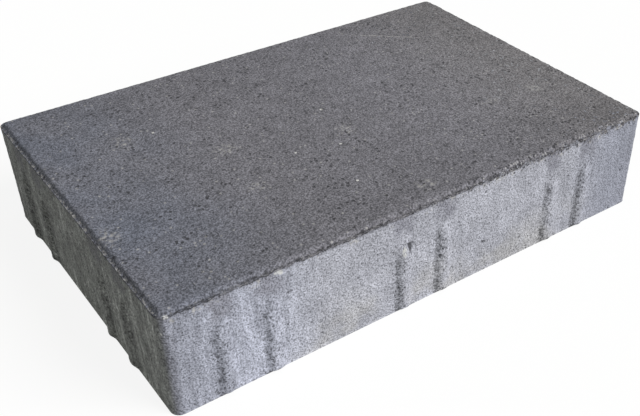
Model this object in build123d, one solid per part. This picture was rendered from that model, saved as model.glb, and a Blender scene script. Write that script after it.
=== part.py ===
"""Concrete paving stone with spacer ribs, lying on its bed face.

All lengths are in millimetres. The stone is one cast piece. Its long side runs along X, its walking face
looks up along Z, and the origin is the middle of the bed face.
"""
from build123d import *
import math
import os

# Driving dimensions of the laying module, which the ribs of neighbouring stones share
LAYING_LENGTH = 300.0
LAYING_WIDTH = 200.0
STONE_HEIGHT = 60.0
RIB_MODULE = 100.0

# Driving dimensions of the block and its pressed top edge
CORNER_RADIUS = 5.0
BEVEL_WIDTH = 1.8
BEVEL_DROP = 1.9
BURR_WIDTH = 0.8
BURR_HEIGHT = 0.4

# Driving dimensions of a spacer rib: round in plan, thinning upwards, and run out below the bevel
RIB_PROUD = 2.0
RIB_WIDTH = 11.0
RIB_THINNING = 0.4
RIB_RUN_OUT = 10.0
RIB_ROOT = 1.0
PLAIN_BAND = 14.0

# Driving dimensions of the rib pattern, from the left end of each module as seen from outside
FIRST_RIB = 30.0
RIB_SPACING = 25.0

# Dependent dimensions
BODY_LENGTH = LAYING_LENGTH - 2 * RIB_PROUD
BODY_WIDTH = LAYING_WIDTH - 2 * RIB_PROUD
BEVEL_FOOT = STONE_HEIGHT - BEVEL_DROP
BURR_TOP = BEVEL_FOOT + BURR_HEIGHT
BEVEL_ANGLE = math.degrees(math.atan2(BEVEL_WIDTH, BEVEL_DROP))
RIB_HEIGHT = STONE_HEIGHT - PLAIN_BAND
RIB_RADIUS = (RIB_WIDTH ** 2 / 4 + RIB_PROUD ** 2) / (2 * RIB_PROUD)
PAIR_END = FIRST_RIB + RIB_SPACING + RIB_WIDTH / 2 + RIB_PROUD + CORNER_RADIUS


def rounded_outline(inset):
    """Outline of the block in plan, moved inwards by inset, with its corner arcs kept concentric."""
    return RectangleRounded(BODY_LENGTH - 2 * inset, BODY_WIDTH - 2 * inset, CORNER_RADIUS - inset)


def block():
    """Block without ribs: upright sides, a thin burr along the top edge and a bevel rising inside it."""
    sides = extrude(rounded_outline(0), amount=BURR_TOP)
    inside_burr = Pos(0, 0, BEVEL_FOOT) * extrude(rounded_outline(BURR_WIDTH), amount=BURR_HEIGHT)
    crown = Pos(0, 0, BEVEL_FOOT) * extrude(rounded_outline(BURR_WIDTH), amount=BEVEL_DROP, taper=BEVEL_ANGLE)
    return sides - inside_burr + crown


def rib_section(height, proud):
    """Plan section of a rib: the arc that stands proud of the plane Y = 0, carried on behind it to the root."""
    axis_depth = RIB_RADIUS - proud
    root_half_width = math.sqrt(RIB_RADIUS ** 2 - (axis_depth - RIB_ROOT) ** 2)
    left_root = (-root_half_width, RIB_ROOT)
    right_root = (root_half_width, RIB_ROOT)
    outline = ThreePointArc(left_root, (0, -proud), right_root) + Line(right_root, left_root)
    return Pos(0, 0, height) * make_face(outline)


def rib():
    """Spacer rib from the bed up: a drafted stretch, then a short slope that dies into the side."""
    shoulder_proud = RIB_PROUD - RIB_THINNING
    tip_proud = -RIB_ROOT / 2
    tip_height = RIB_HEIGHT - RIB_RUN_OUT * tip_proud / shoulder_proud
    foot = rib_section(0, RIB_PROUD)
    shoulder = rib_section(RIB_HEIGHT - RIB_RUN_OUT, shoulder_proud)
    tip = rib_section(tip_height, tip_proud)
    return loft([foot, shoulder], ruled=True) + loft([shoulder, tip], ruled=True)


def side_ribs(side_length, side_distance, turn):
    """Ribs of one side face, which is side_distance from the middle and turned about Z by turn degrees."""
    one_rib = rib()
    ribs = []
    modules_with_room = math.floor((side_length - PAIR_END) / RIB_MODULE) + 1
    for module in range(modules_with_room):
        for place in (FIRST_RIB, FIRST_RIB + RIB_SPACING):
            along = module * RIB_MODULE + place - side_length / 2
            ribs.append(Rot(0, 0, turn) * Pos(along, -side_distance, 0) * one_rib)
    return ribs


def paving_stone():
    """Block with the rib pattern on all four sides, the same way round on each."""
    stone = block()
    for turn in (0, 180):
        stone += side_ribs(LAYING_LENGTH, BODY_WIDTH / 2, turn)
    for turn in (90, 270):
        stone += side_ribs(LAYING_WIDTH, BODY_LENGTH / 2, turn)
    return stone.solid()


os.makedirs("parts", exist_ok=True)
export_step(paving_stone(), "parts/paving_stone.step")
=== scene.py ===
"""Concrete paving stone, modelled and finished as it lies on a pale floor.

The block starts as a cube, gets its pressed top edge by insets, is divided into a fine grid, takes its
rounded corners and its spacer ribs, and is then roughened. One concrete finish covers it all over: a dark
walking face, a pressed rim, sides with a pale lime bloom and a barer bed. Patterns are laid out in
millimetres in the stone's own frame.
"""
import math

import bpy
from bpy.props import FloatProperty, FloatVectorProperty, PointerProperty
from mathutils import Euler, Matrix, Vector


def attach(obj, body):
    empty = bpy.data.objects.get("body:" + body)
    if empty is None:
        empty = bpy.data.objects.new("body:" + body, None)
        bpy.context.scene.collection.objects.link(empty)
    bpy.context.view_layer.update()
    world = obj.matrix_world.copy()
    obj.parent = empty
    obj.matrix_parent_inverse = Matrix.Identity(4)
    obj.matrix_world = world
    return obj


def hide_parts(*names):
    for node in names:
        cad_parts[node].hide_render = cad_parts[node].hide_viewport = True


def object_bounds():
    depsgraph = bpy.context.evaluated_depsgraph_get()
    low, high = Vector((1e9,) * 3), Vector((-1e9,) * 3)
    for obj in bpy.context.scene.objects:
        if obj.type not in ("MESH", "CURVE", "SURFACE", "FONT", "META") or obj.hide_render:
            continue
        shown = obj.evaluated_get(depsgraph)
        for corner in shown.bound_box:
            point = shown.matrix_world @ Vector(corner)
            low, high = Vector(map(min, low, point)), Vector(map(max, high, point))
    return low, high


bl_info = {
    "name": "Concrete paving stone",
    "version": (1, 0, 0),
    "blender": (4, 5, 0),
    "location": "View3D > Sidebar > Paving stone",
    "description": "Models a pressed concrete paving stone with spacer ribs and lays it on a pale floor",
    "category": "Object",
}

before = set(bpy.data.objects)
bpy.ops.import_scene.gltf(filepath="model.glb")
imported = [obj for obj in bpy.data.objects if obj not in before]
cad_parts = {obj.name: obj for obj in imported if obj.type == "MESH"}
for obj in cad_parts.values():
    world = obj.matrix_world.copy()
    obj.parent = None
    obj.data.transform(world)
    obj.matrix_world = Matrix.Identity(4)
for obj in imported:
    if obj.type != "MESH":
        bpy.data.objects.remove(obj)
CAD_LOW, CAD_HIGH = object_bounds()
CAD_NODE = "paving_stone"
STONE_NAME = "stone_block"
MM = 0.001
METRE_TO_MM = 1000.0

# Mesh work, in metres
SHOULDER_RISE = 0.15 * MM
PLAIN_RIM = 6 * MM
RIB_REACH = 3 * MM
OUTLINE_SLACK = 0.05 * MM
BED_SLACK = 0.01 * MM
WELD_DISTANCE = 0.03 * MM
FLOOR_GAP = 0.1 * MM

# Number of fine parts that each coarse part of the grid is cut into
FINE_PARTS = 12

# Least shares: of a normal that points up, of the grid step for a long edge, of its run for its direction
UPWARD = 0.5
LONG_EDGE = 1.5
ALONG_AXIS = 0.99

# Depths of the relief and the sideways shift of the painted shade on a rib's shaded flank, in mm, and how
# soft a void's edge is
FACE_PIT_DEPTH = 0.45
SIDE_PIT_DEPTH = 0.6
VOID_DEPTH = 1.5
PINHOLE_DEPTH = 0.4
VOID_SOFTNESS = 0.35
FLANK_SHIFT = 4.0

# Places on the stone as middle and half size, in millimetres: front side y = -98, top z = 60
FRONT = -98.0
TOP = 60.0
VOIDS = (
    ((-16.6, FRONT, 37.4), (1.3, 3.2, 3.2)),
    ((-17.6, FRONT, 39.2), (0.9, 3.2, 1.6)),
    ((32.2, FRONT, 19.5), (0.8, 3.2, 0.8)),
    ((2.4, FRONT - 1.2, 23.6), (0.8, 3.2, 1.3)),
    ((3.9, FRONT - 1.0, 28.2), (0.6, 3.2, 0.9)),
)
PINHOLES = (
    ((31.4, FRONT, 51.2), (0.7, 3.2, 0.8)),
    ((104.8, FRONT, 40.0), (0.6, 3.2, 1.1)),
    ((117.2, FRONT, 22.0), (0.8, 3.2, 0.9)),
    ((-86.2, FRONT, 43.0), (0.45, 3.2, 1.0)),
    ((-80.2, FRONT, 37.6), (0.8, 3.2, 0.5)),
)
PALE_CHIPS = (
    ((-90.6, FRONT, 56.6), (2.2, 3.2, 0.8)),
    ((-89.2, FRONT, 55.6), (1.2, 3.2, 0.7)),
    ((-144.0, FRONT + 1.0, 57.6), (1.1, 3.2, 0.7)),
    ((-20.9, FRONT - 1.0, 36.8), (1.3, 3.2, 2.8)),
    ((-149.0, -90.5, 43.5), (3.2, 0.5, 1.7)),
    ((-146.9, -95.8, 48.5), (0.9, 0.9, 1.0)),
    ((-149.0, -47.0, 16.0), (3.2, 0.7, 6.5)),
    ((-149.0, -82.0, 9.0), (3.2, 0.6, 3.0)),
)
# Pale upright bands on the left end: partly draw marks, partly painted highlights beside its ribs
PALE_BANDS_AND_RIB_HIGHLIGHTS = (
    ((-149.0, 55.5, 26.0), (3.2, 3.0, 34.0)),
    ((-149.0, -19.5, 8.0), (3.2, 2.6, 20.0)),
    ((-149.0, -45.5, 18.0), (3.2, 5.5, 26.0)),
    ((-149.0, -67.0, 22.0), (3.2, 2.2, 32.0)),
)
PALE_SMUDGES = (
    ((-142.0, -35.0, TOP), (5.0, 7.0, 2.0)),
    ((-102.0, 39.0, TOP), (5.0, 6.0, 2.0)),
    ((-62.0, 2.0, TOP), (6.5, 5.0, 2.0)),
    ((-66.0, -38.0, TOP), (5.0, 4.0, 2.0)),
    ((2.0, -85.0, TOP), (5.5, 4.5, 2.0)),
    ((86.0, -39.0, TOP), (4.0, 4.0, 2.0)),
    ((118.0, -41.0, TOP), (5.0, 4.0, 2.0)),
    ((1.0, -17.0, TOP), (4.5, 5.0, 2.0)),
)
WHITE_GRAINS = (
    ((2.0, 9.0, TOP), (0.9, 0.8, 1.0)),
    ((-23.0, -62.0, TOP), (0.7, 0.7, 1.0)),
    ((-34.0, -22.0, TOP), (0.7, 0.6, 1.0)),
    ((-10.0, -28.0, TOP), (0.8, 0.6, 1.0)),
    ((-85.0, 39.0, TOP), (0.7, 0.7, 1.0)),
)
SCRATCH_MIDDLE = (89.0, 64.5, TOP)
SCRATCH_HALF_SIZE = (20.0, 0.55, 1.5)
SCRATCH_ANGLE = math.radians(-39.8)

# Cloudy patterns: size in mm, detail, roughness, offset in mm, the stretch of noise used and what it becomes
CLOUDS = {
    "waves": (34.0, 2.0, 0.5, 3.0, (0.2, 0.8), (-0.16, 0.0)),
    "coarse grain": (2.4, 2.0, 0.6, 17.0, (0.25, 0.75), (-0.12, 0.04)),
    "face lumps": (6.5, 2.0, 0.5, 9.0, (0.25, 0.75), (-0.10, 0.02)),
    "side lumps": (3.6, 3.0, 0.6, 23.0, (0.3, 0.75), (-0.20, 0.04)),
    "rib lumps": (3.4, 3.0, 0.7, 29.0, (0.3, 0.72), (-0.22, 0.06)),
    "rim bites": (2.6, 3.0, 0.7, 41.0, (0.66, 0.42), (-0.55, 0.05)),
    "pit clusters": (16.0, 2.0, 0.5, 53.0, (0.45, 0.62), (0.0, 1.0)),
    "pore clusters": (16.0, 2.0, 0.5, 53.0, (0.40, 0.62), (0.25, 1.0)),
    "fine grain": (0.9, 3.0, 0.65, 167.0, (0.25, 0.75), (-0.08, 0.08)),
    "fine worms": (1.5, 2.0, 0.55, 173.0, (0.35, 0.65), (-0.11, 0.11)),
    "roughness": (3.0, 2.0, 0.5, 71.0, (0.3, 0.7), (0.84, 0.97)),
    "ragged edge": (2.8, 3.0, 0.7, 5.0, (0.32, 0.68), (-1.0, 1.0)),
    "broken shade line": (4.0, 3.0, 0.7, 239.0, (0.38, 0.56), (0.10, 0.90)),
    "chip gaps": (1.4, 2.0, 0.5, 197.0, (0.34, 0.5), (0.0, 1.0)),
    "sandy crumbs": (5.0, 3.0, 0.65, 251.0, (0.56, 0.66), (0.0, 0.55)),
    "cool patches": (45.0, 2.0, 0.5, 77.0, (0.28, 0.70), (0.40, 0.85)),
    "face mottling": (9.0, 3.0, 0.6, 83.0, (0.3, 0.7), (0.90, 1.10)),
    "face grain": (0.85, 2.0, 0.6, 89.0, (0.32, 0.68), (0.50, 1.60)),
    "smudge gaps": (2.2, 2.0, 0.5, 97.0, (0.45, 0.7), (0.0, 1.0)),
    "scratch gaps": (2.8, 2.0, 0.5, 101.0, (0.38, 0.56), (0.0, 1.0)),
    "ridge grit": (1.9, 3.0, 0.65, 179.0, (0.50, 0.58), (0.0, 1.0)),
    "ridge holes": (2.2, 3.0, 0.65, 199.0, (0.50, 0.42), (0.0, 1.0)),
    "warm clouds": (24.0, 3.0, 0.5, 113.0, (0.42, 0.66), (0.0, 1.0)),
    "side clouds": (15.0, 3.0, 0.6, 131.0, (0.3, 0.7), (0.88, 1.08)),
    "side grain": (0.9, 2.0, 0.6, 137.0, (0.32, 0.60), (0.46, 1.24)),
    "flank shade patches": (3.2, 3.0, 0.7, 211.0, (0.28, 0.60), (1.0, 0.35)),
    "bare wander": (7.0, 3.0, 0.7, 241.0, (0.25, 0.75), (-4.0, 4.0)),
    "bare clouds": (5.0, 3.0, 0.5, 139.0, (0.30, 0.60), (0.55, 1.0)),
    "bare rim": (4.0, 3.0, 0.7, 149.0, (0.35, 0.65), (0.0, 1.0)),
    "rim shade line": (3.4, 3.0, 0.7, 151.0, (0.34, 0.56), (0.0, 1.0)),
    "draw marks": (3.4, 1.0, 0.5, 181.0, (0.60, 0.72), (0.0, 0.60)),
    "band gaps": (2.2, 2.0, 0.5, 269.0, (0.38, 0.60), (0.1, 0.55)),
    "end dust": (8.0, 4.0, 0.7, 191.0, (0.34, 0.66), (0.76, 1.27)),
    "end grain": (1.8, 3.0, 0.6, 193.0, (0.32, 0.68), (0.72, 1.34)),
    "bed clouds": (22.0, 4.0, 0.6, 223.0, (0.35, 0.68), (0.1, 0.7)),
    "bed grain": (1.1, 3.0, 0.6, 227.0, (0.30, 0.66), (0.55, 1.28)),
}

# Scattered dots: spacing and radius in mm, share of the scattered points that get one, offset in mm
DOTS = {
    "face pits": (4.6, 1.25, 0.55, 59.0),
    "face pores": (3.1, 1.0, 0.42, 107.0),
    "pale grains": (3.2, 0.8, 0.24, 103.0),
    "side pits": (6.0, 1.15, 0.22, 61.0),
    "side pores": (3.0, 0.6, 0.28, 163.0),
    "rib pores": (2.6, 0.85, 0.6, 157.0),
    "shaded flank pores": (1.8, 0.75, 0.55, 233.0),
    "pale crumbs": (1.7, 0.72, 0.42, 257.0),
    "edge pores": (1.7, 0.85, 0.50, 263.0),
    "bed pores": (3.4, 1.0, 0.5, 229.0),
}
DOT_CORE = 0.6

# Upright streaks of the sides and draw marks of the ends: the noise, and the squeeze that draws it out
STREAK_NOISE = (2.6, 3.0, 0.6, 127.0)
STREAK_SQUEEZE = (1.0, 1.0, 0.16)
DRAW_SQUEEZE = (1.0, 1.0, 0.05)

# Shader values
SPECULAR = 0.25
BUMP_STRENGTH = 0.8

# Stage: a broad key light, a weaker surround, a floor and a camera
KEY_AZIMUTH = math.radians(36.0)
KEY_ELEVATION = math.radians(36.0)
KEY_SPREAD = math.radians(38.0)
KEY_ENERGY = 3.7
SURROUND_STRENGTH = 0.30
SURROUND_TINT = (0.95, 0.98, 0.885, 1.0)
WHITE = (1.0, 1.0, 1.0, 1.0)
FLOOR_SIZE = 12.0
FLOOR_PALE = (0.97, 0.97, 0.97, 1.0)
FLOOR_DULL = (0.25, 0.25, 0.25, 1.0)
FLOOR_GLOW = 0.88
CAMERA_PLACE = (-0.2427, -0.3808, 0.3134)
CAMERA_TURN = (math.radians(52.455), math.radians(-1.027), math.radians(-37.165))
CAMERA_SENSOR = 36.0
CAMERA_LENS = 52.206
CAMERA_SHIFT = (-0.128, 0.0669)
CAMERA_CLIP = (0.01, 50.0)


class PavingStoneSizes(bpy.types.PropertyGroup):
    """Sizes of the stone's form and of its grid."""

    rib_proud: FloatProperty(
        name="Rib height", description="How far a spacer rib stands out of its side at the bed",
        default=2.0 * MM, unit="LENGTH", precision=5,
    )
    corner_radius: FloatProperty(
        name="Corner radius", description="Radius of the four upright corners",
        default=5.0 * MM, unit="LENGTH", precision=5,
    )
    rim_drop: FloatProperty(
        name="Rim drop", description="How far the burr's crest lies below the walking face",
        default=1.5 * MM, unit="LENGTH", precision=5,
    )
    burr_width: FloatProperty(
        name="Burr width", description="Width of the thin ridge along the pressed edge",
        default=0.8 * MM, unit="LENGTH", precision=5,
    )
    burr_height: FloatProperty(
        name="Burr height", description="How far the ridge stands above the foot of the bevel",
        default=0.4 * MM, unit="LENGTH", precision=5,
    )
    bevel_width: FloatProperty(
        name="Bevel width", description="Width of the pressed bevel inside the ridge",
        default=1.8 * MM, unit="LENGTH", precision=5,
    )
    bevel_shoulder: FloatProperty(
        name="Bevel shoulder", description="Width of the soft turn from the bevel into the walking face",
        default=0.7 * MM, unit="LENGTH", precision=5,
    )
    grid_step: FloatProperty(
        name="Grid step", description="Spacing of the mesh that carries the relief",
        default=1.12 * MM, unit="LENGTH", precision=5,
    )
    rib_module: FloatProperty(
        name="Rib module", description="Length along a side after which the rib pair repeats",
        default=100.0 * MM, unit="LENGTH",
    )
    first_rib: FloatProperty(
        name="First rib", description="Middle of a module's first rib from its left end, seen from outside",
        default=30.0 * MM, unit="LENGTH",
    )
    rib_spacing: FloatProperty(
        name="Rib spacing", description="Distance between the two ribs of a pair",
        default=25.0 * MM, unit="LENGTH",
    )


class PavingStoneColours(bpy.types.PropertyGroup):
    """Colours of the concrete's zones."""

    face: FloatVectorProperty(
        name="Walking face", description="Dark concrete of the walking face",
        subtype="COLOR", default=(0.150, 0.146, 0.165),
    )
    face_cool: FloatVectorProperty(
        name="Cool patches", description="Bluish patches of the walking face",
        subtype="COLOR", default=(0.124, 0.134, 0.170),
    )
    face_warm: FloatVectorProperty(
        name="Warm end", description="Warmer tone towards the stone's right end",
        subtype="COLOR", default=(0.156, 0.149, 0.157),
    )
    # Dark of pores and voids, also painted as shade in the lines under the pressed edge and on the ribs'
    # shaded flanks
    pore_and_shade: FloatVectorProperty(
        name="Pores", description="Inside of pores and voids",
        subtype="COLOR", default=(0.035, 0.035, 0.040),
    )
    speck: FloatVectorProperty(
        name="Pale grains", description="Pale sand grains in the walking face",
        subtype="COLOR", default=(0.36, 0.35, 0.35),
    )
    white_grain: FloatVectorProperty(
        name="White grains", description="Single white grains in the walking face",
        subtype="COLOR", default=(0.62, 0.61, 0.60),
    )
    chip: FloatVectorProperty(
        name="Chips", description="Fresh pale chips in the sides",
        subtype="COLOR", default=(0.60, 0.60, 0.60),
    )
    sandy: FloatVectorProperty(
        name="Sandy crumbs", description="Sandy crumbs under the front edge",
        subtype="COLOR", default=(0.52, 0.50, 0.47),
    )
    crumb: FloatVectorProperty(
        name="Pale crumbs", description="Pale grains of the worn front edge",
        subtype="COLOR", default=(0.42, 0.41, 0.42),
    )
    bloom: FloatVectorProperty(
        name="Lime bloom", description="Pale bloom on the sides",
        subtype="COLOR", default=(0.415, 0.42, 0.475),
    )
    bloom_warm: FloatVectorProperty(
        name="Warm bloom", description="Yellowish bloom low on the long sides",
        subtype="COLOR", default=(0.46, 0.45, 0.445),
    )
    # Painted shade: a darker, greener copy of the bloom for the short sides, which lie in the weaker,
    # green-tinted surround light
    shaded_end_bloom: FloatVectorProperty(
        name="End bloom", description="Duller, slightly green bloom on the two short sides",
        subtype="COLOR", default=(0.372, 0.378, 0.380),
    )
    bloom_cool: FloatVectorProperty(
        name="Cool bloom", description="Bluer bloom towards both ends of the long sides",
        subtype="COLOR", default=(0.400, 0.413, 0.490),
    )
    bare: FloatVectorProperty(
        name="Bare side", description="Side concrete where no bloom formed",
        subtype="COLOR", default=(0.235, 0.235, 0.275),
    )
    bare_end: FloatVectorProperty(
        name="Bare end", description="Concrete without bloom on the two short sides",
        subtype="COLOR", default=(0.230, 0.231, 0.252),
    )


class Wiring:
    """Short calls for adding and joining nodes, the same for materials, the world and geometry nodes."""

    def __init__(self, tree):
        self.tree = tree

    def node(self, kind, **settings):
        made = self.tree.nodes.new(kind)
        for name, value in settings.items():
            setattr(made, name, value)
        return made

    def feed(self, socket, value):
        if isinstance(value, bpy.types.NodeSocket):
            self.tree.links.new(value, socket)
        elif value is not None:
            socket.default_value = value

    def show(self, kind, shader):
        """Ends a material or world with its output node."""
        self.feed(self.node(kind).inputs["Surface"], shader.outputs[0])

    def math(self, operation, first, second=None):
        made = self.node("ShaderNodeMath", operation=operation)
        for socket, value in zip(made.inputs, (first, second)):
            self.feed(socket, value)
        return made.outputs[0]

    def chain(self, operation, first, others):
        for other in others:
            first = self.math(operation, first, other)
        return first

    def times(self, first, *others):
        return self.chain("MULTIPLY", first, others)

    def plus(self, first, *others):
        return self.chain("ADD", first, others)

    def minus(self, first, second):
        return self.math("SUBTRACT", first, second)

    def most(self, first, *others):
        return self.chain("MAXIMUM", first, others)

    def absolute(self, value):
        return self.math("ABSOLUTE", value)

    def rest(self, mask):
        """What a mask leaves over."""
        return self.minus(1.0, mask)

    def vector(self, operation, first, second=None):
        made = self.node("ShaderNodeVectorMath", operation=operation)
        for socket, value in zip(made.inputs, (first, second)):
            self.feed(socket, value)
        return made.outputs["Value"] if operation == "LENGTH" else made.outputs["Vector"]

    def scale(self, vector, amount):
        """A vector or a colour times a number."""
        made = self.node("ShaderNodeVectorMath", operation="SCALE")
        self.feed(made.inputs[0], vector)
        self.feed(made.inputs["Scale"], amount)
        return made.outputs[0]

    def stretch(self, value, low, high, to_low=0.0, to_high=1.0, smooth=True):
        """Maps low..high of a value to to_low..to_high, held at both ends."""
        made = self.node("ShaderNodeMapRange", interpolation_type="SMOOTHSTEP" if smooth else "LINEAR")
        for name, number in (("Value", value), ("From Min", low), ("From Max", high),
                             ("To Min", to_low), ("To Max", to_high)):
            self.feed(made.inputs[name], number)
        return made.outputs["Result"]

    def between(self, mask, where_clear, where_full):
        """Turns a mask into numbers."""
        return self.stretch(mask, 0.0, 1.0, where_clear, where_full)

    def blend(self, factor, first, second):
        """Mixes two colours."""
        made = self.node("ShaderNodeMix", data_type="RGBA", blend_type="MIX")
        self.feed(made.inputs["Factor"], factor)
        self.feed(made.inputs["A"], first)
        self.feed(made.inputs["B"], second)
        return made.outputs["Result"]


class StoneWiring(Wiring):
    """Wiring that knows where on the stone each point lies, in millimetres in the stone's own frame."""

    def __init__(self, tree, sizes):
        super().__init__(tree)
        self.sizes = sizes

    def locate(self, position):
        """Takes a position in metres, and works out the zones of the stone from it."""
        self.place = self.vector("MULTIPLY", position, (METRE_TO_MM, METRE_TO_MM, METRE_TO_MM))
        split = self.node("ShaderNodeSeparateXYZ")
        self.feed(split.inputs[0], self.place)
        self.x, self.y, self.height = split.outputs
        half_length = CAD_HIGH[0] / MM
        half_width = CAD_HIGH[1] / MM
        from_end = self.minus(self.absolute(self.x), half_length)
        from_long_side = self.minus(self.absolute(self.y), half_width)
        on_long_side = self.math("GREATER_THAN", from_long_side, from_end)
        along_long = self.minus(half_length, self.times(self.x, self.math("SIGN", self.y)))
        along_short = self.plus(half_width, self.times(self.y, self.math("SIGN", self.x)))
        along = self.plus(self.times(along_long, on_long_side),
                          self.times(along_short, self.rest(on_long_side)))
        in_module = self.math("MODULO", along, self.sizes.rib_module / MM)
        # Where each rib's painted flank shade lies: left of the rib on the long sides, right of it on the
        # short sides, seen from outside
        shift = self.minus(self.times(on_long_side, -2 * FLANK_SHIFT), -FLANK_SHIFT)
        self.to_rib = self.to_nearest_rib(in_module)
        self.to_shaded_flank = self.to_nearest_rib(self.minus(in_module, shift))
        self.on_end = self.stretch(self.minus(from_end, from_long_side), -2.5, 2.5)
        self.inwards = self.minus(-self.sizes.rib_proud / MM, self.most(from_end, from_long_side))
        self.from_corner = self.times(self.math("MINIMUM", from_end, from_long_side), -1.0)

    def to_nearest_rib(self, in_module):
        """Distance from a place in the rib module to the nearer of its two ribs."""
        to_first = self.absolute(self.minus(in_module, self.sizes.first_rib / MM))
        second_rib = (self.sizes.first_rib + self.sizes.rib_spacing) / MM
        to_second = self.absolute(self.minus(in_module, second_rib))
        return self.math("MINIMUM", to_first, to_second)

    def moved(self, place, offset):
        """A place moved away, so that each pattern draws on its own part of the noise."""
        return self.vector("ADD", place, (offset, offset * 0.7, -offset))

    def noise(self, place, size, detail, roughness, offset):
        """Cloudy pattern from 0 to 1 whose features are about size millimetres across."""
        made = self.node("ShaderNodeTexNoise", noise_dimensions="3D")
        self.feed(made.inputs["Vector"], self.moved(place, offset))
        self.feed(made.inputs["Scale"], 1.0 / size)
        self.feed(made.inputs["Detail"], detail)
        self.feed(made.inputs["Roughness"], roughness)
        return made.outputs[0]

    def cloud(self, name, place=None, smooth=True):
        """One of the cloudy patterns."""
        *noise_settings, used, becomes = CLOUDS[name]
        noise = self.noise(self.place if place is None else place, *noise_settings)
        return self.stretch(noise, *used, *becomes, smooth)

    def dots(self, name):
        """One of the scattered patterns: 1 in the middle of a dot and 0 outside."""
        spacing, radius, share, offset = DOTS[name]
        cells = self.node("ShaderNodeTexVoronoi", voronoi_dimensions="3D", feature="F1")
        self.feed(cells.inputs["Vector"], self.moved(self.place, offset))
        self.feed(cells.inputs["Scale"], 1.0 / spacing)
        lottery = self.node("ShaderNodeSeparateXYZ")
        self.feed(lottery.inputs[0], cells.outputs["Color"])
        dot = self.stretch(cells.outputs["Distance"], radius / spacing, DOT_CORE * radius / spacing)
        return self.times(dot, self.math("LESS_THAN", lottery.outputs[0], share))

    def spot(self, place, middle, half_size, soft):
        """One egg-shaped spot: 1 inside and 0 outside."""
        scaled = self.vector("DIVIDE", self.vector("SUBTRACT", place, middle), half_size)
        return self.stretch(self.vector("LENGTH", scaled), 1.0 + soft, 1.0 - soft)

    def spots(self, marks, soft):
        """Several spots in one mask."""
        mask = 0.0
        for middle, half_size in marks:
            mask = self.most(mask, self.spot(self.place, middle, half_size, soft))
        return mask

    def face_pits(self):
        """Pores of the walking face that are large enough to be cut into the mesh, in loose clusters."""
        return self.times(self.dots("face pits"), self.cloud("pit clusters"))


class ReliefWiring(StoneWiring):
    """Relief of the surface, as geometry nodes."""

    def build(self):
        """Moves each point along its normal, and the rim straight down as well, within the stone's box."""
        entry = self.node("NodeGroupInput")
        leave = self.node("NodeGroupOutput")
        position = self.node("GeometryNodeInputPosition").outputs[0]
        normal = self.node("GeometryNodeInputNormal").outputs[0]
        self.locate(position)
        rise, bites = self.heights()
        outwards = self.scale(normal, self.times(rise, MM))
        downwards = self.scale((0.0, 0.0, 1.0), self.times(bites, MM))
        moved = self.vector("ADD", self.vector("ADD", position, outwards), downwards)
        below = self.vector("MINIMUM", moved, tuple(CAD_HIGH))
        kept = self.vector("MAXIMUM", below, tuple(CAD_LOW))
        setter = self.node("GeometryNodeSetPosition")
        self.feed(setter.inputs["Geometry"], entry.outputs[0])
        self.feed(setter.inputs["Position"], kept)
        self.feed(leave.inputs[0], setter.outputs[0])

    def heights(self):
        """How far each point moves along its normal, and how far the rim is bitten down, in millimetres."""
        on_top = self.stretch(self.height, TOP - 1.0, TOP - 0.2)
        on_side = self.stretch(self.height, TOP - 2.2, TOP - 2.6)
        on_rim = self.minus(self.rest(on_top), on_side)
        near_rib = self.stretch(self.to_rib, 7.0, 4.5)
        on_rib = self.times(near_rib, self.stretch(self.height, 50.0, 40.0), on_side)
        face_pits = self.times(self.face_pits(), -FACE_PIT_DEPTH)
        side_pits = self.times(self.dots("side pits"), -SIDE_PIT_DEPTH)
        voids = self.plus(self.times(self.spots(VOIDS, VOID_SOFTNESS), -VOID_DEPTH),
                          self.times(self.spots(PINHOLES, VOID_SOFTNESS), -PINHOLE_DEPTH))
        rise = self.plus(self.cloud("waves"), self.cloud("coarse grain"),
                         self.times(on_top, self.plus(self.cloud("face lumps"), face_pits)),
                         self.times(on_side, self.plus(self.cloud("side lumps"), side_pits)),
                         self.times(on_rib, self.cloud("rib lumps")))
        above_bed = self.stretch(self.height, 0.0, 1.0)
        rise = self.times(self.plus(rise, voids), above_bed)
        crumbly_end = self.stretch(self.x, -40.0, 60.0, 1.0, 1.6)
        clean_back = self.most(self.stretch(self.y, 60.0, 95.0), self.stretch(self.x, 140.0, 147.0))
        crumbly_end = self.times(crumbly_end, self.between(clean_back, 1.0, 0.3))
        bites = self.times(self.cloud("rim bites"), crumbly_end)
        return rise, self.times(on_rim, bites)


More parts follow.
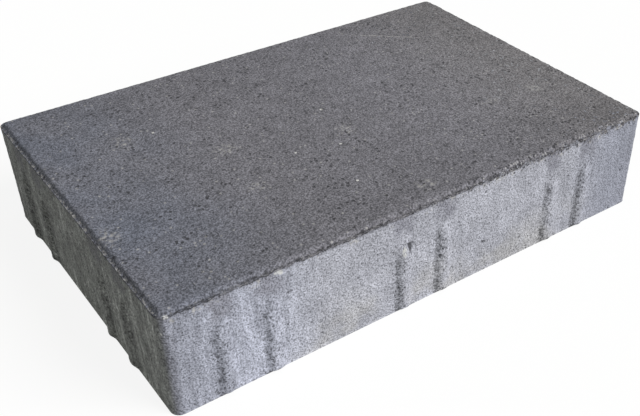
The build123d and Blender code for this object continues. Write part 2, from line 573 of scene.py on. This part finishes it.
class FinishWiring(StoneWiring):
    """The concrete finish, as material nodes."""

    def __init__(self, tree, sizes, colours):
        super().__init__(tree, sizes)
        self.colours = colours

    def paint(self, name):
        """One of the colours, as the four numbers that a node socket takes."""
        return (*getattr(self.colours, name), 1.0)

    def build(self):
        """Joins the walking face, the sides, the front edge, the bed and the single marks in one shader."""
        self.locate(self.node("ShaderNodeTexCoord").outputs["Object"])
        ragged = self.cloud("ragged edge", smooth=False)
        edge_height = self.plus(self.height, self.times(ragged, self.stretch(self.x, 0.0, 120.0, 0.8, 3.6)))
        is_side = self.stretch(edge_height, TOP - 2.3, TOP - 2.9)
        finish = self.blend(is_side, self.face_colour(), self.side_colour())
        # Painted shade under the burr
        finish = self.edge_shade_line(finish, edge_height)
        finish = self.edge_crumbs(finish)
        on_bed = self.times(self.stretch(self.height, 0.7, 0.2), self.stretch(self.inwards, 0.8, 2.0))
        finish = self.blend(on_bed, finish, self.bed_colour())
        chips = self.times(self.spots(PALE_CHIPS, 0.4), self.cloud("chip gaps"))
        finish = self.blend(chips, finish, self.paint("chip"))
        voids = self.most(self.times(self.spots(VOIDS, VOID_SOFTNESS), 0.85),
                          self.times(self.spots(PINHOLES, VOID_SOFTNESS), 0.60))
        finish = self.blend(voids, finish, self.paint("pore_and_shade"))
        shader = self.node("ShaderNodeBsdfPrincipled")
        shader.inputs["Specular IOR Level"].default_value = SPECULAR
        self.feed(shader.inputs["Base Color"], finish)
        self.feed(shader.inputs["Roughness"], self.cloud("roughness"))
        self.feed(shader.inputs["Normal"], self.fine_relief(is_side))
        self.show("ShaderNodeOutputMaterial", shader)

    def edge_shade_line(self, finish, edge_height):
        """Painted shade: a thin broken dark line in the notch under the burr, weaker on the short sides and
        at the corners.
        """
        shade_under_edge = self.times(self.stretch(edge_height, TOP - 2.85, TOP - 2.5),
                                self.stretch(edge_height, TOP - 1.8, TOP - 2.2))
        broken = self.times(self.cloud("broken shade line"), self.between(self.on_end, 1.0, 0.30),
                            self.stretch(self.from_corner, 3.0, 12.0, 0.30, 1.0))
        return self.blend(self.times(shade_under_edge, broken), finish, self.paint("pore_and_shade"))

    def edge_crumbs(self, finish):
        """Long edges: pale sandy crumbs under them all along, dark pores and pale grains to the right."""
        on_long_side = self.rest(self.on_end)
        below = self.times(self.stretch(self.height, TOP - 7.5, TOP - 4.5),
                           self.stretch(self.height, TOP - 2.4, TOP - 3.2))
        sandy = self.times(self.cloud("sandy crumbs"), below, on_long_side)
        finish = self.blend(sandy, finish, self.paint("sandy"))
        near_edge = self.times(self.stretch(self.height, TOP - 7.0, TOP - 4.0),
                               self.stretch(self.inwards, 4.5, 2.5))
        worn = self.times(near_edge, on_long_side, self.stretch(self.x, -60.0, 50.0))
        pale = self.times(self.dots("pale crumbs"), worn, 0.65)
        finish = self.blend(pale, finish, self.paint("crumb"))
        dark = self.times(self.dots("edge pores"), worn, 0.90)
        return self.blend(dark, finish, self.paint("pore_and_shade"))

    def face_colour(self):
        """Dark walking face: cool left end, warm right end, mottling, grain, pores and pale marks."""
        cool = self.times(self.stretch(self.x, -50.0, -140.0), self.cloud("cool patches"))
        tone = self.blend(cool, self.paint("face"), self.paint("face_cool"))
        tone = self.blend(self.stretch(self.x, 40.0, 150.0), tone, self.paint("face_warm"))
        mottling = self.times(self.cloud("face mottling"), self.face_drift())
        tone = self.scale(tone, self.times(mottling, self.cloud("face grain")))
        smudges = self.times(self.spots(PALE_SMUDGES, 0.6), self.cloud("smudge gaps"), 0.85)
        scratch = self.times(self.scratch(), self.cloud("scratch gaps"), 0.85)
        pale = self.most(smudges, scratch, self.times(self.dots("pale grains"), 0.70))
        tone = self.blend(pale, tone, self.paint("speck"))
        tone = self.rim_tone(tone)
        tone = self.blend(self.spots(WHITE_GRAINS, 0.4), tone, self.paint("white_grain"))
        fine_pores = self.times(self.dots("face pores"), self.cloud("pore clusters"), 0.85)
        pores = self.most(fine_pores, self.times(self.face_pits(), 0.7))
        return self.blend(pores, tone, self.paint("pore_and_shade"))

    def face_drift(self):
        """Slow change of brightness over the walking face."""
        across = self.stretch(self.absolute(self.plus(self.y, 12.0)), 25.0, 105.0, 1.04, 0.94)
        lengthways = self.stretch(self.absolute(self.minus(self.x, 75.0)), 15.0, 80.0, 1.08, 0.98)
        near_front = self.times(self.stretch(self.y, -35.0, -85.0),
                                self.stretch(self.x, -150.0, 150.0, 0.05, -0.08, smooth=False))
        return self.times(self.plus(across, near_front), lengthways)

    def scratch(self):
        """Long pale rub mark across the walking face."""
        turn = self.node("ShaderNodeVectorRotate", rotation_type="Z_AXIS")
        self.feed(turn.inputs["Vector"], self.place)
        self.feed(turn.inputs["Center"], SCRATCH_MIDDLE)
        self.feed(turn.inputs["Angle"], -SCRATCH_ANGLE)
        return self.spot(turn.outputs[0], SCRATCH_MIDDLE, SCRATCH_HALF_SIZE, 0.5)

    def rim_tone(self, tone):
        """Bevel with a painted highlight on the long sides and painted shade on the short sides, and pale
        grit and holes on the ridge outside it.
        """
        bevel = self.times(self.stretch(self.inwards, 3.0, 2.2), self.stretch(self.inwards, 1.1, 1.5))
        # Painted light on the bevel: lighter on the long sides, painted shade on the short sides
        tone = self.scale(tone, self.between(bevel, 1.0, self.between(self.on_end, 1.06, 0.80)))
        ridge = self.stretch(self.inwards, 1.7, 1.1)
        grit = self.times(self.cloud("ridge grit"), self.between(self.on_end, 0.30, 0.90))
        tone = self.blend(self.times(ridge, grit), tone, self.paint("speck"))
        holes = self.times(self.cloud("ridge holes"), self.between(self.on_end, 0.55, 0.85))
        return self.blend(self.times(ridge, holes), tone, self.paint("pore_and_shade"))

    def side_colour(self):
        """Sides: pale bloom with streaks and grain, draw marks and some painted highlights on the ends,
        painted shade on each rib's shaded flank, bare patches and pores.
        """
        upright = self.vector("MULTIPLY", self.place, STREAK_SQUEEZE)
        streaked = self.stretch(self.x, -60.0, -105.0)
        streaks = self.stretch(self.noise(upright, *STREAK_NOISE), 0.3, 0.7,
                               self.between(streaked, 0.90, 0.80), self.between(streaked, 1.08, 1.18))
        grain = self.cloud("side grain")
        tone = self.side_drift(self.bloom())
        tone = self.scale(tone, self.times(streaks, self.cloud("side clouds"), grain))
        tone = self.end_marks(tone)
        # Painted shade on the shaded flank of each rib, patchy, partly its rougher porous face, wider on the
        # left end
        flank_shade_width = self.stretch(self.x, -147.5, -145.5, 6.5, 2.8)
        flank = self.times(self.stretch(self.to_shaded_flank, flank_shade_width, 0.6), self.low_on_side(),
                           self.cloud("flank shade patches"))
        tone = self.scale(tone, self.between(flank, 1.0, 0.60))
        tone = self.bare_patches(tone, grain)
        return self.blend(self.times(self.side_pores(), 0.62), tone, self.paint("pore_and_shade"))

    def low_on_side(self):
        """The height up to which the ribs stand out."""
        return self.stretch(self.height, 46.0, 36.0)

    def bloom(self):
        """Bloom: cooler at both ends of the long sides, warmer low on them, and on the short sides a duller,
        greener copy that is painted shade, strongest on the left end.
        """
        on_long_side = self.rest(self.on_end)
        # Painted shade on the short sides, full on the left end and weaker on the right end
        shaded_end = self.times(self.on_end, self.stretch(self.x, -100.0, 100.0, 1.0, 0.35))
        tone = self.blend(shaded_end, self.paint("bloom"), self.paint("shaded_end_bloom"))
        warmth = self.times(self.cloud("warm clouds"), self.stretch(self.height, 34.0, 2.0), on_long_side)
        tone = self.blend(self.times(warmth, 0.6), tone, self.paint("bloom_warm"))
        cool = self.most(self.stretch(self.x, -60.0, -105.0), self.stretch(self.x, 85.0, 130.0))
        return self.blend(self.times(cool, on_long_side), tone, self.paint("bloom_cool"))

    def side_drift(self, tone):
        """Slow change of brightness along the long sides, and up and across the short ones."""
        fading = self.times(self.stretch(self.x, -152.0, -106.0, 0.76, 1.0),
                            self.stretch(self.x, 80.0, 150.0, 1.0, 0.75))
        paler = self.times(self.stretch(self.absolute(self.plus(self.x, 93.0)), 27.0, 11.0),
                           self.stretch(self.height, 50.0, 32.0))
        fading = self.times(fading, self.between(paler, 1.0, 1.14))
        tone = self.scale(tone, self.most(fading, self.on_end))
        end_drift = self.times(self.stretch(self.height, 2.0, 58.0, 1.10, 0.92, smooth=False),
                               self.stretch(self.y, 15.0, 55.0, 1.0, 0.87))
        return self.vector("MULTIPLY", tone, self.blend(self.on_end, WHITE, end_drift))

    def end_marks(self, tone):
        """Short sides: thin pale draw marks from top to bottom, pale bands on the left end that are partly
        painted highlights beside its ribs, and uneven dark dust between them.
        """
        upright = self.vector("MULTIPLY", self.place, DRAW_SQUEEZE)
        # Pale bands, partly painted highlights beside the ribs of the left end
        bands_and_highlights = self.times(self.spots(PALE_BANDS_AND_RIB_HIGHLIGHTS, 0.6), self.cloud("band gaps", upright))
        lines = self.most(self.cloud("draw marks", upright), bands_and_highlights)
        change = self.times(self.cloud("end dust"), self.cloud("end grain"), self.plus(lines, 1.0))
        strength = self.times(self.on_end, self.stretch(self.x, -100.0, 100.0, 1.0, 0.4))
        return self.scale(tone, self.plus(self.times(self.minus(change, 1.0), strength), 1.0))

    def bare_patches(self, tone, grain):
        """Bare concrete at the corners, above the ribs and under the rim, with a dark line of painted shade
        below the rim.
        """
        bare = self.scale(self.blend(self.on_end, self.paint("bare"), self.paint("bare_end")), grain)
        corner = self.times(self.stretch(self.from_corner, 9.5, 3.0), 0.45)
        tone = self.blend(corner, tone, bare)
        wander = self.cloud("bare wander", smooth=False)
        above_rib = self.times(self.stretch(self.plus(self.to_rib, wander), 8.5, 4.0),
                               self.stretch(self.plus(self.height, wander), 42.0, 50.0),
                               self.cloud("bare clouds"), 0.90)
        tone = self.blend(above_rib, tone, bare)
        rim_shade = self.times(self.stretch(self.height, 54.5, 57.6), self.cloud("bare rim"), 0.55)
        tone = self.blend(rim_shade, tone, bare)
        # Painted shade: a broken dark line just below the rim
        line = self.times(self.stretch(self.height, 56.5, 57.2), self.cloud("rim shade line"), 0.4)
        return self.blend(line, tone, self.paint("pore_and_shade"))

    def side_pores(self):
        """Pores of the sides, more of them on the ribs, and dark pores on each rib's shaded flank that also
        serve as painted shade there.
        """
        on_rib = self.times(self.stretch(self.to_rib, 6.5, 4.0), self.low_on_side())
        on_shaded_flank = self.times(self.stretch(self.to_shaded_flank, 5.0, 2.5), self.low_on_side())
        rib_pores = self.most(self.times(self.dots("rib pores"), on_rib),
                              self.times(self.dots("shaded flank pores"), on_shaded_flank))
        return self.most(self.dots("side pores"), rib_pores, self.dots("side pits"))

    def bed_colour(self):
        """Bed face: bare rough concrete with clouds of bloom, grain and pores."""
        tone = self.blend(self.cloud("bed clouds"), self.paint("bare"), self.paint("bloom"))
        tone = self.scale(tone, self.cloud("bed grain"))
        return self.blend(self.dots("bed pores"), tone, self.paint("pore_and_shade"))

    def fine_relief(self, is_side):
        """Grain and pores finer than the mesh, as bump in millimetres."""
        face_pores = self.times(self.dots("face pores"), -0.38)
        side_pores = self.times(self.dots("side pores"), -0.22)
        height = self.plus(self.cloud("fine grain", smooth=False), self.cloud("fine worms"),
                           self.times(face_pores, self.rest(is_side)), self.times(side_pores, is_side))
        bump = self.node("ShaderNodeBump")
        bump.inputs["Strength"].default_value = BUMP_STRENGTH
        bump.inputs["Distance"].default_value = MM
        self.feed(bump.inputs["Height"], height)
        return bump.outputs[0]


def empty_tree(owner):
    """The cleared node tree of a material or a world."""
    owner.use_nodes = True
    owner.node_tree.nodes.clear()
    return owner.node_tree


def select_top_face(mesh_object):
    """Leaves only the largest upward face selected, in edit mode."""
    bpy.ops.mesh.select_all(action="DESELECT")
    bpy.ops.object.mode_set(mode="OBJECT")
    upward = [face for face in mesh_object.data.polygons if face.normal.z > UPWARD]
    top = max(upward, key=lambda face: face.area)
    top.select = True
    bpy.ops.object.mode_set(mode="EDIT")


def select_edges(mesh_object, wanted):
    """Leaves only the edges that wanted() picks selected, in edit mode; it gets the two end points."""
    bpy.ops.mesh.select_mode(type="EDGE")
    bpy.ops.mesh.select_all(action="DESELECT")
    bpy.ops.object.mode_set(mode="OBJECT")
    vertices = mesh_object.data.vertices
    for edge in mesh_object.data.edges:
        edge.select = wanted(*(vertices[index].co for index in edge.vertices))
    bpy.ops.object.mode_set(mode="EDIT")


def cut_edges_along(mesh_object, axis, parts, step):
    """Cuts every long edge that runs along one axis into equal parts; one call can make at most 100 cuts."""
    def is_long_and_along(start, end):
        run = end - start
        return run.length > LONG_EDGE * step and abs(run[axis]) > ALONG_AXIS * run.length

    select_edges(mesh_object, is_long_and_along)
    bpy.ops.mesh.subdivide(number_cuts=parts - 1, smoothness=0.0)


def divide_along(mesh_object, axis, length, step):
    """Divides the mesh along one axis into parts of about the given step, coarsely and then finely."""
    cut_edges_along(mesh_object, axis, round(length / step / FINE_PARTS), step)
    cut_edges_along(mesh_object, axis, FINE_PARTS, step)


def round_upright_corners(mesh_object, half_length, half_width, radius):
    """Moves the grid of each square corner onto arcs about one upright axis, ring by ring."""
    for vertex in mesh_object.data.vertices:
        past_x = abs(vertex.co.x) - (half_length - radius)
        past_y = abs(vertex.co.y) - (half_width - radius)
        if past_x <= 0.0 or past_y <= 0.0:
            continue
        shrink = max(past_x, past_y) / math.hypot(past_x, past_y)
        vertex.co.x = math.copysign(half_length - radius + past_x * shrink, vertex.co.x)
        vertex.co.y = math.copysign(half_width - radius + past_y * shrink, vertex.co.y)


def apply_modifier(mesh_object, modifier):
    """Makes the object active and applies one of its modifiers."""
    bpy.context.view_layer.objects.active = mesh_object
    bpy.ops.object.modifier_apply(modifier=modifier.name)


class STONE_OT_block(bpy.types.Operator):
    """Model the block: cube, pressed rim, fine grid, round corners and spacer ribs"""

    bl_idname = "stone.block"
    bl_label = "Cast the block"

    def execute(self, context):
        sizes = context.scene.paving_stone_sizes
        half_length = CAD_HIGH[0] - sizes.rib_proud
        half_width = CAD_HIGH[1] - sizes.rib_proud
        crest_height = CAD_HIGH[2] - sizes.rim_drop
        bpy.ops.object.select_all(action="DESELECT")
        bpy.ops.mesh.primitive_cube_add(
            size=1.0, location=(0.0, 0.0, crest_height / 2),
            scale=(2 * half_length, 2 * half_width, crest_height),
        )
        block = context.active_object
        block.name = STONE_NAME
        block.data.name = STONE_NAME
        bpy.ops.object.transform_apply(location=True, rotation=True, scale=True)
        bpy.ops.object.mode_set(mode="EDIT")
        self.press_rim(block, sizes)
        self.cut_grid(block, sizes.grid_step, (2 * half_length, 2 * half_width, crest_height))
        bpy.ops.object.mode_set(mode="OBJECT")
        round_upright_corners(block, half_length, half_width, sizes.corner_radius)
        self.take_ribs(block, half_length, half_width)
        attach(block, "root")
        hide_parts(CAD_NODE)
        return {"FINISHED"}

    def press_rim(self, block, sizes):
        """Insets the top face ring by ring: burr crest, foot of the bevel, bevel and its soft shoulder."""
        half_rise = (sizes.rim_drop + sizes.burr_height) / 2
        rings = (
            (sizes.burr_width / 2, 0.0),
            (sizes.burr_width / 2, -sizes.burr_height),
            (sizes.bevel_width / 2, half_rise),
            (sizes.bevel_width / 2, half_rise - SHOULDER_RISE),
            (sizes.bevel_shoulder, SHOULDER_RISE),
        )
        for inwards, upwards in rings:
            select_top_face(block)
            bpy.ops.mesh.inset(thickness=inwards, depth=upwards, use_even_offset=True)

    def cut_grid(self, block, step, lengths):
        """Opens the bed, divides the rest into a grid and closes the bed with a ring and one flat face."""
        bpy.ops.mesh.select_all(action="DESELECT")
        bpy.ops.object.mode_set(mode="OBJECT")
        bed = min(block.data.polygons, key=lambda face: face.center.z)
        bed.select = True
        bpy.ops.object.mode_set(mode="EDIT")
        bpy.ops.mesh.delete(type="ONLY_FACE")
        for axis, length in enumerate(lengths):
            divide_along(block, axis, length, step)
        bpy.ops.mesh.select_all(action="DESELECT")
        bpy.ops.mesh.select_non_manifold()
        bpy.ops.mesh.edge_face_add()
        bpy.ops.mesh.inset(thickness=step, depth=0.0)

    def take_ribs(self, block, half_length, half_width):
        """Draws the sides below the rim out onto the ribs of the construction model."""
        rim_height = CAD_HIGH[2] - PLAIN_RIM
        upright = []
        for vertex in block.data.vertices:
            on_end = abs(vertex.co.x) > half_length - OUTLINE_SLACK
            on_long_side = abs(vertex.co.y) > half_width - OUTLINE_SLACK
            if vertex.co.z < rim_height and (on_end or on_long_side):
                upright.append(vertex.index)
        sides = block.vertex_groups.new(name="sides")
        sides.add(upright, 1.0, "REPLACE")
        wrap = block.modifiers.new("ribs", "SHRINKWRAP")
        wrap.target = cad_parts[CAD_NODE]
        wrap.wrap_method = "PROJECT"
        wrap.use_negative_direction = False
        wrap.use_positive_direction = True
        wrap.project_limit = RIB_REACH
        wrap.vertex_group = sides.name
        apply_modifier(block, wrap)


class STONE_OT_relief(bpy.types.Operator):
    """Roughen the block: waves, grain, pits, voids and a broken burr, all within the stone's box"""

    bl_idname = "stone.relief"
    bl_label = "Roughen the surface"

    def execute(self, context):
        block = bpy.data.objects[STONE_NAME]
        tree = bpy.data.node_groups.new("concrete_relief", "GeometryNodeTree")
        tree.interface.new_socket("Geometry", in_out="INPUT", socket_type="NodeSocketGeometry")
        tree.interface.new_socket("Geometry", in_out="OUTPUT", socket_type="NodeSocketGeometry")
        ReliefWiring(tree, context.scene.paving_stone_sizes).build()
        relief = block.modifiers.new("relief", "NODES")
        relief.node_group = tree
        bpy.ops.object.select_all(action="DESELECT")
        block.select_set(True)
        apply_modifier(block, relief)
        bpy.ops.object.mode_set(mode="EDIT")
        bpy.ops.mesh.select_all(action="SELECT")
        bpy.ops.mesh.remove_doubles(threshold=WELD_DISTANCE)
        bpy.ops.mesh.normals_make_consistent(inside=False)
        bpy.ops.object.mode_set(mode="OBJECT")
        bpy.ops.object.shade_smooth()
        self.sharpen_bed(block)
        return {"FINISHED"}

    def sharpen_bed(self, block):
        """Marks the bed's edges sharp, so that its corner with the upright sides is not shaded round."""
        bpy.ops.object.mode_set(mode="EDIT")
        select_edges(block, lambda start, end: max(start.z, end.z) < BED_SLACK)
        bpy.ops.mesh.mark_sharp()
        bpy.ops.object.mode_set(mode="OBJECT")


class STONE_OT_concrete(bpy.types.Operator):
    """Make the concrete finish and put it on the block"""

    bl_idname = "stone.concrete"
    bl_label = "Finish the concrete"

    def execute(self, context):
        scene = context.scene
        concrete = bpy.data.materials.new("pressed_concrete")
        FinishWiring(empty_tree(concrete), scene.paving_stone_sizes, scene.paving_stone_colours).build()
        block = bpy.data.objects[STONE_NAME]
        block.data.materials.clear()
        block.data.materials.append(concrete)
        return {"FINISHED"}


class STONE_OT_stage(bpy.types.Operator):
    """Lay the floor, light it softly and set the camera"""

    bl_idname = "stone.stage"
    bl_label = "Set the stage"

    def execute(self, context):
        self.lay_floor()
        self.light(context)
        self.set_camera(context)
        context.scene.view_settings.view_transform = "Standard"
        return {"FINISHED"}

    def lay_floor(self):
        """Plain floor that is white to the camera, keeps a soft shadow and throws little light back."""
        bpy.ops.object.select_all(action="DESELECT")
        bpy.ops.mesh.primitive_plane_add(size=FLOOR_SIZE, location=(0.0, 0.0, -FLOOR_GAP))
        floor = bpy.context.active_object
        floor.name = "floor"
        paint = bpy.data.materials.new("pale_floor")
        wiring = Wiring(empty_tree(paint))
        pale = wiring.node("ShaderNodeBsdfDiffuse")
        pale.inputs["Color"].default_value = FLOOR_PALE
        glow = wiring.node("ShaderNodeEmission")
        glow.inputs["Color"].default_value = WHITE
        dull = wiring.node("ShaderNodeBsdfDiffuse")
        dull.inputs["Color"].default_value = FLOOR_DULL
        bright = self.mix_shaders(wiring, FLOOR_GLOW, pale, glow)
        both = self.mix_shaders(wiring, self.seen_directly(wiring), dull, bright)
        wiring.show("ShaderNodeOutputMaterial", both)
        floor.data.materials.append(paint)

    def mix_shaders(self, wiring, factor, first, second):
        """A Mix Shader node over two shader nodes."""
        mix = wiring.node("ShaderNodeMixShader")
        for socket, value in zip(mix.inputs, (factor, first.outputs[0], second.outputs[0])):
            wiring.feed(socket, value)
        return mix

    def seen_directly(self, wiring):
        """1 for what the camera, a reflection or a clear body looks at, 0 for light falling on the stone."""
        path = wiring.node("ShaderNodeLightPath")
        mirrored = wiring.most(path.outputs["Is Glossy Ray"], path.outputs["Is Transmission Ray"])
        return wiring.most(path.outputs["Is Camera Ray"], mirrored)

    def light(self, context):
        """One broad key from the front right and an even, weaker surround."""
        bpy.ops.object.light_add(type="SUN", rotation=(math.pi / 2 - KEY_ELEVATION, 0.0, KEY_AZIMUTH))
        key = context.active_object
        key.name = "key"
        key.data.energy = KEY_ENERGY
        key.data.angle = KEY_SPREAD
        world = bpy.data.worlds.new("surround")
        wiring = Wiring(empty_tree(world))
        seen = self.seen_directly(wiring)
        back = wiring.node("ShaderNodeBackground")
        wiring.feed(back.inputs["Color"], wiring.blend(seen, SURROUND_TINT, WHITE))
        strength = wiring.stretch(seen, 0.0, 1.0, SURROUND_STRENGTH, 1.0, smooth=False)
        wiring.feed(back.inputs["Strength"], strength)
        wiring.show("ShaderNodeOutputWorld", back)
        context.scene.world = world

    def set_camera(self, context):
        """Camera above the stone's near left corner."""
        bpy.ops.object.camera_add(location=CAMERA_PLACE)
        camera = context.active_object
        camera.name = "camera"
        camera.rotation_euler = Euler(CAMERA_TURN, "XYZ")
        camera.data.sensor_width = CAMERA_SENSOR
        camera.data.lens = CAMERA_LENS
        camera.data.shift_x, camera.data.shift_y = CAMERA_SHIFT
        camera.data.clip_start, camera.data.clip_end = CAMERA_CLIP
        context.scene.camera = camera


class STONE_PT_panel(bpy.types.Panel):
    """Lists the steps of making the stone"""

    bl_label = "Paving stone"
    bl_idname = "STONE_PT_panel"
    bl_space_type = "VIEW_3D"
    bl_region_type = "UI"
    bl_category = "Paving stone"

    def draw(self, context):
        for step in STEPS:
            self.layout.operator(step.bl_idname)
        for group in (context.scene.paving_stone_sizes, context.scene.paving_stone_colours):
            box = self.layout.box()
            for name in group.__annotations__:
                box.prop(group, name)


STEPS = (STONE_OT_block, STONE_OT_relief, STONE_OT_concrete, STONE_OT_stage)
CLASSES = (PavingStoneSizes, PavingStoneColours, *STEPS, STONE_PT_panel)


def register():
    for item in CLASSES:
        bpy.utils.register_class(item)
    bpy.types.Scene.paving_stone_sizes = PointerProperty(type=PavingStoneSizes)
    bpy.types.Scene.paving_stone_colours = PointerProperty(type=PavingStoneColours)


def unregister():
    del bpy.types.Scene.paving_stone_colours
    del bpy.types.Scene.paving_stone_sizes
    for item in reversed(CLASSES):
        bpy.utils.unregister_class(item)


def main():
    register()
    bpy.ops.stone.block()
    bpy.ops.stone.relief()
    bpy.ops.stone.concrete()
    bpy.ops.stone.stage()


if __name__ == "__main__":
    main()
